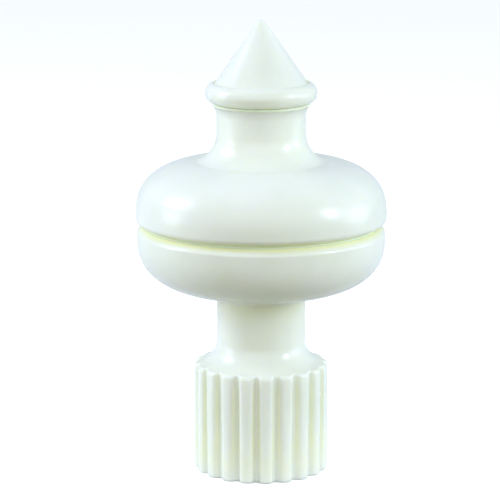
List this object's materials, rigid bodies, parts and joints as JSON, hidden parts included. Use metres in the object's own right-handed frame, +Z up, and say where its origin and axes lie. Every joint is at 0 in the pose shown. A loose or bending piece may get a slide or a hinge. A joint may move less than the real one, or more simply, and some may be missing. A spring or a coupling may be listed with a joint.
{
  "type": "fence post cap",
  "caption": "Turned-pattern cap for a round fence post: fluted socket, grooved bulb and screw-on spire on a tie rod, held by a set screw.",
  "frame": {"origin": "centre of the socket's mouth, on the cap's axis, where the cap stands when it is off the post", "axes": "+Z up along the cap's axis towards the spire's tip, +Y towards the clamp screw at the back, -Y the front, +X to the viewer's right from the front"},
  "size_m": [0.1076, 0.1076, 0.1954],
  "materials": {
    "ivory_plastic": "glossy ivory moulding, slightly translucent",
    "zinc_steel": "bright zinc-plated steel",
    "brass": "turned brass",
    "pale_silicone": "soft ivory silicone",
    "soft_rubber": "matt black rubber",
    "nylon": "natural nylon"
  },
  "bodies": {
    "cap": {"base_socket": "ivory_plastic", "lower_shell": "ivory_plastic", "rim_gasket": "pale_silicone", "upper_shell": "ivory_plastic", "tie_rod": "zinc_steel", "rod_washers": "zinc_steel", "lock_nut": "zinc_steel", "lock_nut_ring": "nylon", "jam_nut": "zinc_steel", "post_pad": "soft_rubber", "clamp_insert": "brass"},
    "spire_seat": {"spire_washer": "pale_silicone"},
    "spire": {"spire": "ivory_plastic", "spire_insert": "brass"},
    "clamp_tip": {"clamp_pad": "nylon"},
    "clamp_screw": {"clamp_screw": "zinc_steel"}
  },
  "joints": [
    {"name": "spire_rise", "type": "slide", "parent": "cap", "child": "spire_seat", "axis": [0, 0, 1], "range_m": [0, 0.01]},
    {"name": "spire_turn", "type": "hinge", "parent": "spire_seat", "child": "spire", "pos_m": [0, 0, 0.16], "axis": [0, 0, 1], "range_deg": [0, 2881]},
    {"name": "clamp_advance", "type": "slide", "parent": "cap", "child": "clamp_tip", "axis": [0, -1, 0], "range_m": [0, 0.0025]},
    {"name": "clamp_turn", "type": "hinge", "parent": "clamp_tip", "child": "clamp_screw", "pos_m": [0, 0.026, 0.013], "axis": [0, -1, 0], "range_deg": [0, 901]}
  ],
  "couplings": [
    {"joint": "spire_turn", "follows": "spire_rise", "rad_per_m": 5026.5},
    {"joint": "clamp_turn", "follows": "clamp_advance", "rad_per_m": 6283.2}
  ]
}
